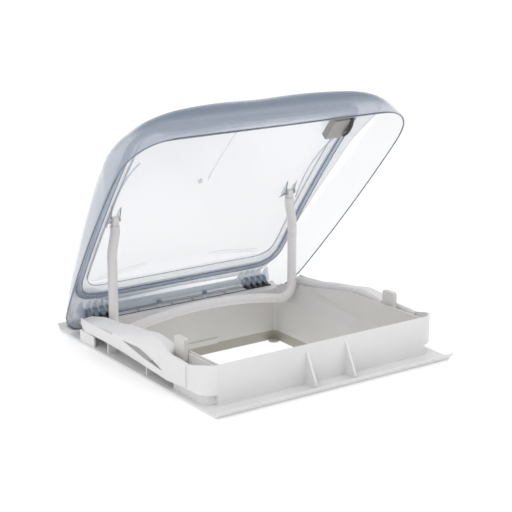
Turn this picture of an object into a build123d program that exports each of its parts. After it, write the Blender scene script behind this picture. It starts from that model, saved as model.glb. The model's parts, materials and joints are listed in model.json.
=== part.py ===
from build123d import *
import os
from math import cos, radians, sin, sqrt

# Roof vent cover for a caravan roof.  Sizes are in millimetres.
# The origin is the centre of the roof cut-out, level with the top of the roof skin.
# X runs across the vent, Y runs back towards the hinge, Z is up.
# The lid stands open, held by its bail.

# ---- fits ----
wall = 3.0
fit_gap = 0.4
bore_gap = 0.02
running_gap = 0.06
side_gap = 0.8
bite = 1.0

# ---- roof cut-out, spigot and ceiling ring ----
cutout = 400.0
half = cutout / 2
cutout_gap = 3.0
spigot_depth = 62.0
spigot_corner = 6.0
ring_depth = 18.0
ring_joint = 0.8
ear_radius = 10.5
ear_inset = 13.0
ear_depth = 4.0
clamp_hole_radius = 2.1
tongue_length = 120.0
tongue_height = 5.0
tongue_thickness = 2.0

# ---- outer frame ----
flange_width = cutout + 75.0
flange_depth = cutout + 107.0
flange_thickness = 4.0
groove_inset = 16.0
groove_width = 10.0
groove_depth = 2.0
lip_reach = 12.0
lip_rise = 12.5
lip_thickness = 3.6
upstand_top = 71.0
front_wall_place = half + 22.0
side_wall_place = half + 7.0
bumper_half_width = side_wall_place + 29.0
bumper_corner = 30.0
bumper_bottom = 22.0
bumper_end = half - 84.0
bumper_slope_start = front_wall_place - 14.0
bumper_slope_end = front_wall_place - 57.0
bumper_end_top = 61.6
corner_floor = 2.0
corner_recess = 9.0
channel_top = 50.0
channel_end = bumper_end - 16.0
gusset_place = 40.0
gusset_top = 60.0
gusset_toe = front_wall_place + 27.0
gusset_toe_top = 9.0
gusset_thickness = 4.0
rear_wall_place = half + 12.0
deck_thickness = 3.0
deck_top = 21.0
deck_half_width = side_wall_place + 7.0
deck_back = rear_wall_place + 22.0
web_top = 27.0
web_reach = bumper_half_width - 5.0
web_places = (half - 111.0, 160.0 - half)
rear_box_front = half - 69.0
rear_box_back = half - 19.0
rear_box_top = 24.0
side_wall_drop = 1.0
corner_screw_inset = (14.0, 15.0)

# ---- inner lining: it flares out above the flange ----
flare_start = 5.0
flare_end = 27.0
lining_top = 69.0
lining_slope_top = (180.0 - half, 67.0)
lining_slope_foot = (half - 10.0, 30.0)

# ---- side covers: crest, crease and lower edge run along Y ----
cover_inner = side_wall_place + 6.0
cover_ridge = bumper_half_width - 8.0
cover_skin = 2.5
cover_side_drop = 14.0
# Each point stands at its distance from the cut-out's rear edge, or from its front edge
# where the distance is negative.
cover_crest_places = (
    (28, 44), (74, 55), (127, 59), (178, 68), (-180, 72), (-149, 79), (-112, 75), (-96, 69.5),
    (-84.4, 62.5),
)
cover_crease_places = ((28, 42), (74, 46), (162, 53), (-188, 58), (-140, 60), (-84.4, 60))
cover_lower_places = ((-84.4, 18), (-126, 22), (180, 27), (109, 28), (40, 26), (28, 40))
cover_notch = 12.0
cover_notch_width = side_wall_place + 14.0
cover_rib_tops = (54.0, 74.0)

# ---- hinge ----
hinge_back = rear_wall_place + 23.0
hinge_height = 32.0
rod_radius = 2.5
rod_half_length = half
barrel_radius = 8.0
barrel_half_length = rod_half_length - 65.0
knuckle_radius = 7.0
rib_thickness = 4.2
rib_pitch = 13.5
rib_start = rod_half_length - 55.0
rib_count = 4
comb_plate_back = 11.8
comb_plate_thickness = 3.0
comb_top = 15.8
comb_bottom = -6.0
comb_front = -16.5
comb_nose_drop = 2.0
comb_nose = 3.0
barrel_web_low = -2.0
barrel_web_high = 4.0
strip_thickness = 2.0
strip_front = rear_wall_place + 4.0
strip_width = 10.0
strip_screw_spread = (22.0, 95.0)
strip_screw_setback = 4.0
clip_place = 50.0
clip_width = 8.0
clip_setback = 3.0
clip_thickness = 3.0
clip_rise = 3.0
leg_toe_drop = 3.0
end_gusset_thickness = 4.0

# ---- lid: plan sizes at the rim, at the knee and at the top ----
open_angle = 50.5
skin = 3.0
rim_drop = 22.5
rim_back = 15.0
rim_front = cutout + 102.0
rim_half_back = bumper_half_width + 12.0
rim_half_middle = bumper_half_width + 42.0
rim_half_front = bumper_half_width + 50.0
rim_middle_place = half
rim_corner_back = 35.0
rim_corner_front = 70.0
knee_level = 20.0
knee_inset_back = 6.0
knee_inset_middle = 14.0
knee_inset_front = 4.0
knee_inset_front_edge = 3.0
crown_height = 82.0
crown_place = half + 65.0
crown_length_radius = 1000.0
crown_width_radius = 1300.0
top_inset_back = 60.0
top_inset_middle = 38.0
top_inset_front = 14.0
top_inset_rear_edge = 26.0
top_inset_front_edge = 10.0

# ---- inner pane, rail and seal ----
bond_gap = 0.2
pane_gap = 8.0
pane_thickness = 2.5
pane_half_back = side_wall_place - 3.0
pane_half_front = side_wall_place + 1.0
pane_back = 46.0
pane_front = cutout + 38.0
pane_corner = 26.0
pane_top_inset = 2.0
rail_half_back = side_wall_place + 6.0
rail_half_front = side_wall_place + 14.0
rail_back = 30.0
rail_front = cutout + 46.0
rail_corner = 32.0
rail_width = 12.0
rail_thickness = 4.0
rail_arch_radius = 2890.0
rail_arch_top = 40.7
rail_arch_place = cutout - 5.0
lid_seal_inset = 2.0
lid_seal_width = 8.0
lid_seal_thickness = 1.8
closing_lip_drop = 20.0
closing_lip_half_width = half - 10.0
closing_lip_thickness = 4.0

# ---- bail ----
bail_radius = 8.5
bail_wall = 1.5
bail_half_width = side_wall_place - 15.0
pivot_half_width = side_wall_place - 22.0
pivot_back = hinge_back - 97.8
pivot_height = 224.5
pivot_neck = 12.0
bail_kink_start = 200.0
bail_kink_end = 166.0
bail_foot = 15.5
bail_peak = 55.0
bail_corner = 25.0
bail_arc = 800.0
pin_radius = 2.5
pin_head_radius = 4.5
pin_head = 2.0
pin_tail = 1.0
eye_radius = 5.2
eye_width = 11.0
plug_clearance = 0.1
plug_length = 9.0

# ---- brackets, latch, posts, beads and plug ----
bracket_thickness = 2.5
bracket_spread = 8.0
bracket_foot = 22.0
bracket_strip = (11.0, 17.0)
bracket_strip_depth = 5.0
post_inner = side_wall_place + 3.5
post_thickness = 8.0
post_front = bumper_end + 20.0
post_length = 29.0
post_top = 91.0
post_foot = 2.5
post_foot_reach = 10.0
post_foot_side = 2.0
screw_radius = 1.6
screw_head_radius = 3.0
screw_head = 1.8
screw_length = 6.0
latch_inner = side_wall_place - 33.0
latch_outer = side_wall_place + 11.0
latch_back = cutout - 21.0
latch_length = 46.0
latch_level = 29.0
latch_height = 13.0
latch_wall = 2.0
latch_floor = 5.0
lever_inner = side_wall_place + 1.0
lever_width = 6.0
lever_length = 30.0
lever_thickness = 3.0
lever_hook_width = 4.0
lever_hook_drop = 3.0
bead_place = side_wall_place - 7.0
bead_width = 1.5
bead_height = 2.5
bead_ends = ((-378, 31.5), (-272, 48.0), (-200, 39.0))
pane_plug_radius = 4.5
pane_plug_height = 4.0
pane_plug_place = (-20.0, -258.0)

os.makedirs("parts", exist_ok=True)

spigot_half = half - cutout_gap
frame_opening_half = spigot_half + fit_gap
lining_half = side_wall_place - fit_gap
lining_front = front_wall_place - wall - fit_gap
flange_edge = flange_depth / 2
ring_top = -spigot_depth - ring_joint
pane_drop = skin + pane_gap
tall = 400.0
lid_back = 60.0
lid_front = -(rim_front + 40)
lid_bottom = -90.0

lid_plane = Plane(
    origin=(0, hinge_back, hinge_height),
    x_dir=(1, 0, 0),
    z_dir=(0, sin(radians(open_angle)), cos(radians(open_angle))),
)
lid_side_plane = Plane(
    origin=lid_plane.origin, x_dir=lid_plane.y_dir, z_dir=lid_plane.x_dir
)


def lid_point(x, y, z):
    """A point of the lid, given from the hinge axis as if the lid were level."""
    return lid_plane.from_local_coords(Vector(x, y, z))


def save_pair(piece, name):
    """Write a right-hand piece and its left-hand mirror image."""
    for hand, shape in (("right", piece), ("left", mirror(piece, about=Plane.YZ))):
        shape.label = f"{name}_{hand}"
        export_step(shape, f"parts/{name}_{hand}.step")


def side_plate(points, low, high, plane=Plane.YZ):
    """A plate with a side profile in Y and Z, between two places along X."""
    with BuildPart() as plate:
        with BuildSketch(plane.offset(low)):
            with BuildLine():
                Polyline(*points, close=True)
            make_face()
        extrude(amount=high - low)
    return plate.part


def block(low, high, plane=Plane.XY):
    """A box between two opposite corners."""
    size = [end - start for start, end in zip(low, high)]
    with BuildPart() as body:
        with Locations(plane):
            with Locations(tuple((start + end) / 2 for start, end in zip(low, high))):
                Box(*size)
    return body.part


def rod_along_x(radius, low, high, place):
    """A round bar along X, its axis at a place (y, z)."""
    with BuildPart() as bar:
        with BuildSketch(Plane.YZ.offset(low)):
            with Locations(place):
                Circle(radius)
        extrude(amount=high - low)
    return bar.part


def screws(places, top):
    """Pan-head screws pointing down, their heads standing on a level."""
    with BuildPart() as group:
        with BuildSketch(Plane.XY.offset(top)):
            with Locations(*places):
                Circle(screw_head_radius)
        extrude(amount=screw_head)
        with BuildSketch(Plane.XY.offset(top)):
            with Locations(*places):
                Circle(screw_radius)
        extrude(amount=-screw_length)
    return group.part


def screw_holes(places, top):
    """Holes that the screws fill."""
    with BuildPart() as holes:
        with BuildSketch(Plane.XY.offset(top)):
            with Locations(*places):
                Circle(screw_radius + bore_gap)
        extrude(amount=-screw_length - fit_gap)
    return holes.part


def outline(half_back, half_front, back, front, corner_back, corner_front, half_middle=0):
    """A plan outline, symmetric in X and wider at the front, with round corners."""
    with BuildSketch() as plan:
        with BuildLine():
            Line((-half_back, back), (half_back, back))
            Line((-half_front, -front), (half_front, -front))
            for side in (-1, 1):
                start = (side * half_back, back)
                end = (side * half_front, -front)
                if half_middle:
                    ThreePointArc(start, (side * half_middle, -rim_middle_place), end)
                else:
                    Line(start, end)
        make_face()
        fillet(plan.vertices().group_by(Axis.Y)[-1], corner_back)
        fillet(plan.vertices().group_by(Axis.Y)[0], corner_front)
    return plan.sketch


def arch(radius, top, place):
    """Three points of an arc in the lid's side plane that peaks at a place."""
    points = []
    for reach in (lid_back, place, lid_front):
        points.append((reach, top - radius + sqrt(radius**2 - (reach - place) ** 2)))
    return points


def under_crown(drop):
    """Everything below the lid's doubly curved crown, lowered by a drop."""
    swing = 14
    turn_axis = Axis(lid_point(0, 0, crown_height - crown_width_radius), lid_plane.y_dir)
    crest = arch(crown_length_radius, crown_height - drop, -crown_place)
    with BuildPart() as body:
        with BuildSketch(lid_side_plane):
            with BuildLine():
                ThreePointArc(*crest)
                Polyline(crest[2], (lid_front, lid_bottom), (lid_back, lid_bottom), crest[0])
            make_face()
        middle = body.pending_faces[0]
        revolve(axis=turn_axis, revolution_arc=swing, clean=False)
        revolve(middle, axis=turn_axis, revolution_arc=-swing, clean=False)
    return body.part


def lid_block(inset, drop, extra):
    """The lid's outer form, or the hollow in it, from the rim up to its crown."""
    corner_back = rim_corner_back - inset
    corner_front = rim_corner_front - inset
    levels = (
        (-rim_drop - extra, 0, 0, 0, 0, 0),
        (knee_level, knee_inset_back, knee_inset_middle, knee_inset_front, 0, knee_inset_front_edge),
        (
            crown_height,
            top_inset_back,
            top_inset_middle,
            top_inset_front,
            top_inset_rear_edge,
            top_inset_front_edge,
        ),
    )
    with BuildPart() as body:
        for level, back, middle, front, rear_edge, front_edge in levels:
            with BuildSketch(lid_plane.offset(level)):
                add(
                    outline(
                        rim_half_back - back - inset,
                        rim_half_front - front - inset,
                        rim_back - rear_edge - inset,
                        rim_front - front_edge - inset,
                        corner_back,
                        corner_front,
                        rim_half_middle - middle - inset,
                    )
                )
        loft(ruled=True)
        add(under_crown(drop), mode=Mode.INTERSECT)
    return body.part


def rail_band(low, high):
    """A wide band that follows the rail's arched underside, between two heights above it."""
    lower = arch(rail_arch_radius, rail_arch_top + low, -rail_arch_place)
    upper = arch(rail_arch_radius, rail_arch_top + high, -rail_arch_place)
    with BuildPart() as body:
        with BuildSketch(lid_side_plane.offset(-tall)):
            with BuildLine():
                ThreePointArc(*lower)
                ThreePointArc(*upper)
                Line(lower[0], upper[0])
                Line(lower[2], upper[2])
            make_face()
        extrude(amount=2 * tall)
    return body.part


def lid_prism(half_back, half_front, back, front, corner):
    """A plan outline of the lid, made into a tall column."""
    with BuildPart() as body:
        with BuildSketch(lid_plane.offset(-tall / 2)):
            add(outline(half_back, half_front, back, front, corner, corner))
        extrude(amount=tall)
    return body.part


def rail_column(inset):
    """The column inside the rail's outer edge, or inset from it."""
    return lid_prism(
        rail_half_back + rail_width - inset,
        rail_half_front + rail_width - inset,
        rail_width - rail_back - inset,
        rail_front + rail_width - inset,
        rail_corner + rail_width - inset,
    )


def pane_block(inset, drop):
    """The inner pane's bulge, or the hollow under it."""
    levels = ((-rim_drop, 0), (crown_height, pane_top_inset))
    with BuildPart() as body:
        for level, lean in levels:
            with BuildSketch(lid_plane.offset(level)):
                add(
                    outline(
                        pane_half_back - lean - inset,
                        pane_half_front - lean - inset,
                        -pane_back - lean - inset,
                        pane_front - lean - inset,
                        pane_corner - inset,
                        pane_corner - inset,
                    )
                )
        loft(ruled=True)
        add(under_crown(pane_drop + drop), mode=Mode.INTERSECT)
    return body.part


def spigot_block(inset, corner, bottom, top):
    """The square tube of the spigot, solid, between two heights."""
    with BuildPart() as body:
        with BuildSketch(Plane.XY.offset(bottom)):
            RectangleRounded(2 * (spigot_half - inset), 2 * (spigot_half - inset), corner)
        extrude(amount=top - bottom)
    return body.part


def lining_block(inset, corner):
    """The lining's outer form, or the clear space inside it."""
    depth = spigot_half + lining_front - 2 * inset
    middle = (spigot_half - lining_front) / 2
    with BuildPart() as body:
        add(spigot_block(inset, corner, -spigot_depth, flare_start))
        with BuildSketch(Plane.XY.offset(flare_start)):
            RectangleRounded(2 * (spigot_half - inset), 2 * (spigot_half - inset), corner)
        with BuildSketch(Plane.XY.offset(flare_end)):
            with Locations((0, middle)):
                RectangleRounded(2 * (lining_half - inset), depth, corner)
        loft()
        with BuildSketch(Plane.XY.offset(flare_end)):
            with Locations((0, middle)):
                RectangleRounded(2 * (lining_half - inset), depth, corner)
        extrude(amount=lining_top - flare_end)
    return body.part


def bumper_region(inset, end, inner):
    """The plan of both front corners, from the bumper's outer face back to an end."""
    back = front_wall_place
    with BuildSketch() as plan:
        RectangleRounded(
            2 * (bumper_half_width - inset), 2 * (front_wall_place - inset), bumper_corner - inset
        )
        with Locations((0, (back - end) / 2)):
            Rectangle(2 * flange_width, back + end, mode=Mode.SUBTRACT)
        Rectangle(2 * inner, 2 * flange_depth, mode=Mode.SUBTRACT)
    return plan.sketch


def ears(radius, low, high):
    """Round columns in the four corners of the spigot, for the ears or their holes."""
    with BuildPart() as group:
        with BuildSketch(Plane.XY.offset(low)):
            with GridLocations(
                2 * (spigot_half - ear_inset), 2 * (spigot_half - ear_inset), 2, 2
            ):
                Circle(radius)
        extrude(amount=high - low)
    return group.part


def raise_plan(plan, low, high):
    """A plan made solid between two heights."""
    with BuildPart() as body:
        with BuildSketch(Plane.XY.offset(low)):
            add(plan)
        extrude(amount=high - low)
    return body.part


# ---- roof frame ----
front_inner = -front_wall_place + wall
seal_width = flange_width - 2 * groove_inset
seal_depth = flange_depth - 2 * groove_inset
post_middle = post_inner + post_thickness / 2
post_screw_places = [
    (side * (post_middle + post_foot_side / 2), place - post_front)
    for side in (-1, 1)
    for place in (-post_foot_reach / 2, post_length + post_foot_reach / 2)
]
corner_screw_places = [
    (side * (bumper_half_width - corner_screw_inset[0]), corner_screw_inset[1] - front_wall_place)
    for side in (-1, 1)
]
strip_screw_places = [
    (side * place, strip_front + strip_screw_setback)
    for side in (-1, 1)
    for place in strip_screw_spread
]

with BuildSketch() as seal_plan:
    Rectangle(seal_width, seal_depth)
    Rectangle(seal_width - 2 * groove_width, seal_depth - 2 * groove_width, mode=Mode.SUBTRACT)

with BuildPart() as roof_frame:
    with BuildSketch():
        Rectangle(flange_width, flange_depth)
        RectangleRounded(
            2 * frame_opening_half, 2 * frame_opening_half, spigot_corner, mode=Mode.SUBTRACT
        )
    extrude(amount=flange_thickness)
    add(raise_plan(seal_plan.sketch, 0, groove_depth), mode=Mode.SUBTRACT)
    for end in (-1, 1):
        lip = (
            (end * (flange_edge - lip_thickness), 0),
            (end * flange_edge, 0),
            (end * (flange_edge + lip_reach), lip_rise),
            (end * (flange_edge + lip_reach - lip_thickness), lip_rise),
        )
        add(side_plate(lip, -flange_width / 2, flange_width / 2))
    add(
        block(
            (-side_wall_place - wall, -front_wall_place, flange_thickness),
            (side_wall_place + wall, front_inner, upstand_top),
        )
    )
    for side in (-1, 1):
        wall_ends = sorted((side * side_wall_place, side * (side_wall_place + wall)))
        side_wall = (
            (front_inner, flange_thickness),
            (front_inner, lining_slope_top[1] - side_wall_drop),
            (lining_slope_top[0], lining_slope_top[1] - side_wall_drop),
            (lining_slope_foot[0], lining_slope_foot[1] - side_wall_drop),
            (rear_wall_place + wall, deck_top - deck_thickness),
            (rear_wall_place + wall, flange_thickness),
        )
        add(side_plate(side_wall, *wall_ends))
        gusset = (
            (-front_wall_place, flange_thickness),
            (-front_wall_place, gusset_top),
            (-gusset_toe, gusset_toe_top),
            (-gusset_toe, flange_thickness),
        )
        start = side * gusset_place - gusset_thickness / 2
        add(side_plate(gusset, start, start + gusset_thickness))
        for place in web_places:
            web_ends = sorted((side * (side_wall_place + wall), side * web_reach))
            add(
                block(
                    (web_ends[0], place, flange_thickness),
                    (web_ends[1], place + wall, web_top),
                )
            )
        box_ends = sorted((side * (bumper_half_width - wall), side * bumper_half_width))
        add(
            block(
                (box_ends[0], rear_box_front, flange_thickness),
                (box_ends[1], rear_box_back, rear_box_top),
            )
        )
        end_wall = sorted((side * side_wall_place, side * bumper_half_width))
        add(
            block(
                (end_wall[0], rear_box_back - wall, flange_thickness),
                (end_wall[1], rear_box_back, rear_box_top),
            )
        )
    with BuildSketch(Plane.XY.offset(bumper_bottom)):
        add(bumper_region(0, bumper_end, side_wall_place))
        add(bumper_region(wall, bumper_end, 0), mode=Mode.SUBTRACT)
    extrude(amount=upstand_top - bumper_bottom)
    bumper_cut = (
        (-bumper_slope_start, upstand_top),
        (-bumper_slope_end, bumper_end_top),
        (-bumper_end, bumper_end_top),
        (-bumper_end, upstand_top + wall),
        (-bumper_slope_start, upstand_top + wall),
    )
    for side in (-1, 1):
        cut_ends = sorted((side * (side_wall_place + wall), side * flange_width / 2))
        add(side_plate(bumper_cut, *cut_ends), mode=Mode.SUBTRACT)
    corner_plan = bumper_region(0, bumper_end, side_wall_place)
    add(raise_plan(corner_plan, bumper_bottom, bumper_bottom + corner_floor))
    channel_plan = bumper_region(wall, channel_end, side_wall_place)
    add(raise_plan(channel_plan, channel_top - wall, channel_top))
    with BuildSketch(Plane.XY.offset(flange_thickness)):
        add(bumper_region(corner_recess, bumper_end, side_wall_place))
        add(bumper_region(corner_recess + wall, bumper_end, 0), mode=Mode.SUBTRACT)
    extrude(amount=bumper_bottom - flange_thickness)
    add(
        block(
            (-deck_half_width, rear_wall_place, flange_thickness),
            (deck_half_width, rear_wall_place + wall, deck_top),
        )
    )
    add(
        block(
            (-deck_half_width, frame_opening_half, deck_top - deck_thickness),
            (deck_half_width, deck_back, deck_top),
        )
    )
    add(screw_holes(strip_screw_places, deck_top), mode=Mode.SUBTRACT)
    add(screw_holes(post_screw_places + corner_screw_places, channel_top), mode=Mode.SUBTRACT)
roof_frame.part.label = "roof_frame"
export_step(roof_frame.part, "parts/roof_frame.step")

with BuildPart() as roof_seal:
    add(raise_plan(seal_plan.sketch, 0, groove_depth))
roof_seal.part.label = "roof_seal"
export_step(roof_seal.part, "parts/roof_seal.step")

# ---- inner lining and ceiling ring ----
with BuildPart() as inner_lining:
    add(lining_block(0, spigot_corner))
    add(lining_block(wall, spigot_corner - wall), mode=Mode.SUBTRACT)
    lining_cut = (
        (-front_wall_place, lining_top),
        lining_slope_top,
        lining_slope_foot,
        (spigot_half - wall, deck_top),
        (flange_edge, deck_top),
        (flange_edge, tall),
        (-front_wall_place, tall),
    )
    add(side_plate(lining_cut, -tall, tall), mode=Mode.SUBTRACT)
inner_lining.part.label = "inner_lining"
export_step(inner_lining.part, "parts/inner_lining.step")

ring_bottom = ring_top - ring_depth
with BuildPart() as lower_ring:
    add(spigot_block(0, spigot_corner, ring_bottom, ring_top))
    add(spigot_block(wall, spigot_corner - wall, ring_bottom, ring_top), mode=Mode.SUBTRACT)
    add(ears(ear_radius, ring_bottom, ring_bottom + ear_depth))
    add(ears(clamp_hole_radius, ring_bottom, ring_bottom + ear_depth), mode=Mode.SUBTRACT)
    tongue_face = spigot_half - wall
    with PolarLocations(0, 4):
        with Locations((tongue_face - bond_gap - tongue_thickness / 2, 0, ring_top - tongue_height)):
            Box(
                tongue_thickness,
                tongue_length,
                3 * tongue_height,
                align=(Align.CENTER, Align.CENTER, Align.MIN),
            )
        with Locations((tongue_face - bond_gap, 0, ring_top - tongue_height)):
            Box(
                2 * bond_gap + tongue_thickness,
                tongue_length,
                tongue_height,
                align=(Align.CENTER, Align.CENTER, Align.MIN),
            )
lower_ring.part.label = "lower_ring"
export_step(lower_ring.part, "parts/lower_ring.step")

# ---- side covers ----
def from_edges(places):
    """Profile points (y, z) from distances to the cut-out's rear or front edge."""
    return [((half if reach > 0 else -half) - reach, height) for reach, height in places]


cover_crest = from_edges(cover_crest_places)
cover_crease = from_edges(cover_crease_places)
cover_lower = from_edges(cover_lower_places)
crest_low = [(place, height - cover_skin) for place, height in cover_crest]
crease_top = [(place, height - cover_skin) for place, height in cover_crease]
crest_side = [(place, height - cover_side_drop) for place, height in cover_crest]
under_ends = ((-bumper_end + fit_gap, 0), (cover_lower[-1][0] - wall, 0))

with BuildPart() as side_cover:
    add(side_plate((*cover_crest, *cover_lower[:-1]), cover_inner, cover_ridge))
    add(side_plate((*cover_crease, *cover_lower[:-1]), cover_ridge, bumper_half_width))
    add(
        side_plate((*crest_low[1:], *under_ends), cover_inner + cover_skin, cover_ridge),
        mode=Mode.SUBTRACT,
    )
    add(
        side_plate((*crease_top[1:], *under_ends), cover_ridge, bumper_half_width - cover_skin),
        mode=Mode.SUBTRACT,
    )
    add(
        side_plate((*crest_side[1:], *under_ends), 0, cover_inner + cover_skin),
        mode=Mode.SUBTRACT,
    )
    for place, rib_top in zip(web_places, cover_rib_tops):
        add(block((cover_inner, place, web_top), (cover_ridge, place + wall, rib_top)))
    notch_start = cover_notch - bumper_end
    notch = ((-flange_edge, 0), (notch_start, 0), (notch_start, tall), (-flange_edge, tall))
    add(side_plate(notch, 0, cover_notch_width), mode=Mode.SUBTRACT)
save_pair(side_cover.part, "side_cover")

# ---- striker posts and the frame's screws ----
with BuildPart() as striker_post:
    add(
        block(
            (post_inner, -post_front, channel_top),
            (post_inner + post_thickness, post_length - post_front, post_top),
        )
    )
    add(
        block(
            (post_inner, -post_front - post_foot_reach, channel_top),
            (
                post_inner + post_thickness + post_foot_side,
                post_length - post_front + post_foot_reach,
                channel_top + post_foot,
            ),
        )
    )
    top_edges = striker_post.edges().filter_by(Axis.X).group_by(Axis.Z)[-1]
    fillet(top_edges, post_thickness / 2)
    add(screw_holes(post_screw_places, channel_top + post_foot), mode=Mode.SUBTRACT)
save_pair(striker_post.part, "striker_post")

with BuildPart() as post_screws:
    add(screws(post_screw_places, channel_top + post_foot))
post_screws.part.label = "post_screws"
export_step(post_screws.part, "parts/post_screws.step")

with BuildPart() as corner_screws:
    add(screws(corner_screw_places, channel_top))
corner_screws.part.label = "corner_screws"
export_step(corner_screws.part, "parts/corner_screws.step")

# ---- hinge ----
hinge_place = (hinge_back, hinge_height)
rib_places = [
    side * (rib_start + step * rib_pitch) for side in (-1, 1) for step in range(rib_count)
]
base_places = [place + (rib_pitch if place > 0 else -rib_pitch) / 2 for place in rib_places]
base_thickness = rib_pitch - rib_thickness - 2 * side_gap

with BuildPart() as hinge_rod:
    add(rod_along_x(rod_radius, -rod_half_length, rod_half_length, hinge_place))
hinge_rod.part.label = "hinge_rod"
export_step(hinge_rod.part, "parts/hinge_rod.step")

with BuildPart() as hinge_base:
    add(
        block(
            (-rod_half_length, strip_front, deck_top),
            (rod_half_length, strip_front + strip_width, deck_top + strip_thickness),
        )
    )
    leg = (
        (strip_front, deck_top),
        (deck_back, deck_top),
        (hinge_back + knuckle_radius - bite, hinge_height - leg_toe_drop),
        (hinge_back, hinge_height),
        (hinge_back - knuckle_radius, hinge_height + bite),
    )
    for place in base_places:
        low = place - base_thickness / 2
        add(side_plate(leg, low, low + base_thickness))
        add(rod_along_x(knuckle_radius, low, low + base_thickness, hinge_place))
    for side in (-1, 1):
        add(
            block(
                (side * clip_place - clip_width / 2, strip_front + clip_setback, deck_top),
                (
                    side * clip_place + clip_width / 2,
                    strip_front + clip_setback + clip_thickness,
                    hinge_height + clip_rise,
                ),
            )
        )
    add(
        rod_along_x(rod_radius + bore_gap, -rod_half_length, rod_half_length, hinge_place),
        mode=Mode.SUBTRACT,
    )
    add(screw_holes(strip_screw_places, deck_top + strip_thickness), mode=Mode.SUBTRACT)
hinge_base.part.label = "hinge_base"
export_step(hinge_base.part, "parts/hinge_base.step")

with BuildPart() as hinge_base_screws:
    add(screws(strip_screw_places, deck_top + strip_thickness))
hinge_base_screws.part.label = "hinge_base_screws"
export_step(hinge_base_screws.part, "parts/hinge_base_screws.step")


def lid_bar(radius, low, high, place=(0, 0)):
    """A round bar along X in the lid, its axis at a place (y, z) from the hinge."""
    with BuildPart() as bar:
        with BuildSketch(lid_side_plane.offset(low)):
            with Locations(place):
                Circle(radius)
        extrude(amount=high - low)
    return bar.part


comb_plate = (
    (comb_plate_back - comb_plate_thickness, comb_bottom),
    (comb_plate_back, comb_bottom),
    (comb_plate_back, comb_top),
    (comb_plate_back - comb_plate_thickness, comb_top),
)
comb_rib = (
    (0, -barrel_radius + bite),
    (comb_plate_back - bite, comb_bottom),
    (comb_plate_back - bite, comb_top),
    (comb_front, comb_top - comb_nose_drop),
    (comb_front, comb_top - comb_nose_drop - comb_nose),
    (-barrel_radius + bite, 0),
)
barrel_web = (
    (rod_radius, barrel_web_low),
    (comb_plate_back - bite, barrel_web_low),
    (comb_plate_back - bite, barrel_web_high),
    (rod_radius, barrel_web_high),
)

with BuildPart() as hinge_comb:
    add(side_plate(comb_plate, -rod_half_length, rod_half_length, lid_side_plane))
    add(side_plate(barrel_web, -barrel_half_length, barrel_half_length, lid_side_plane))
    add(lid_bar(barrel_radius, -barrel_half_length, barrel_half_length))
    for place in rib_places:
        low = place - rib_thickness / 2
        add(side_plate(comb_rib, low, low + rib_thickness, lid_side_plane))
        add(lid_bar(barrel_radius, low, low + rib_thickness))
    add(lid_bar(rod_radius + running_gap, -rod_half_length, rod_half_length), mode=Mode.SUBTRACT)
hinge_comb.part.label = "hinge_comb"
export_step(hinge_comb.part, "parts/hinge_comb.step")

end_gusset = (
    (comb_plate_back, comb_bottom),
    (comb_plate_back, comb_top),
    (comb_front, comb_top - comb_nose_drop),
    (comb_front, comb_top - comb_nose_drop - comb_nose),
    (-bite, comb_bottom),
)
with BuildPart() as hinge_end_gusset:
    gusset_start = rod_half_length + side_gap
    add(side_plate(end_gusset, gusset_start, gusset_start + end_gusset_thickness, lid_side_plane))
save_pair(hinge_end_gusset.part, "hinge_end_gusset")

# ---- lid skin, inner pane, rail and seal ----
with BuildPart() as lid_outer_skin:
    add(lid_block(0, 0, 0))
    add(lid_block(skin, skin, wall), mode=Mode.SUBTRACT)
lid_outer_skin.part.label = "lid_outer_skin"
export_step(lid_outer_skin.part, "parts/lid_outer_skin.step")

with BuildPart() as pane_flange:
    add(lid_block(skin + bond_gap, skin + bond_gap, 0))
    add(rail_band(rail_thickness, rail_thickness + pane_thickness), mode=Mode.INTERSECT)
    add(pane_block(pane_thickness, pane_thickness), mode=Mode.SUBTRACT)

with BuildPart() as lid_inner_pane:
    add(pane_block(0, 0))
    add(pane_block(pane_thickness, pane_thickness), mode=Mode.SUBTRACT)
    add(rail_band(-tall, rail_thickness), mode=Mode.SUBTRACT)
    add(pane_flange.part)
lid_inner_pane.part.label = "lid_inner_pane"
export_step(lid_inner_pane.part, "parts/lid_inner_pane.step")

lip_front = rail_front + rail_width
with BuildPart() as lid_rail:
    add(rail_column(0))
    add(rail_column(rail_width), mode=Mode.SUBTRACT)
    add(rail_band(0, rail_thickness), mode=Mode.INTERSECT)
    add(under_crown(skin + pane_thickness + bond_gap), mode=Mode.INTERSECT)
    add(
        block(
            (-closing_lip_half_width, -lip_front, rail_arch_top - closing_lip_drop),
            (
                closing_lip_half_width,
                closing_lip_thickness - lip_front,
                rail_arch_top + bite,
            ),
            lid_plane,
        )
    )
lid_rail.part.label = "lid_rail"
export_step(lid_rail.part, "parts/lid_rail.step")

with BuildPart() as lid_seal:
    add(rail_column(lid_seal_inset))
    add(rail_column(lid_seal_inset + lid_seal_width), mode=Mode.SUBTRACT)
    add(rail_band(-lid_seal_thickness, 0), mode=Mode.INTERSECT)
    add(
        block(
            (-tall, -tall * 2, -tall),
            (tall, closing_lip_thickness + fit_gap - lip_front, tall),
            lid_plane,
        ),
        mode=Mode.SUBTRACT,
    )
lid_seal.part.label = "lid_seal"
export_step(lid_seal.part, "parts/lid_seal.step")

# ---- bail: a bent tube with an eye plugged into each end ----
bail_corners = (
    (pivot_half_width, bail_kink_start),
    (bail_half_width, bail_kink_end),
    (bail_half_width, bail_foot),
)
bail_start = (pivot_half_width, pivot_height - pivot_neck)
bail_points = [bail_start, *bail_corners]
bail_points = bail_points + [(0, bail_peak)] + [(-x, z) for x, z in reversed(bail_points)]
bail_radii = [30, 60, bail_corner]
bail_plane = Plane(origin=(0, pivot_back, 0), x_dir=(1, 0, 0), z_dir=(0, -1, 0))

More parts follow.
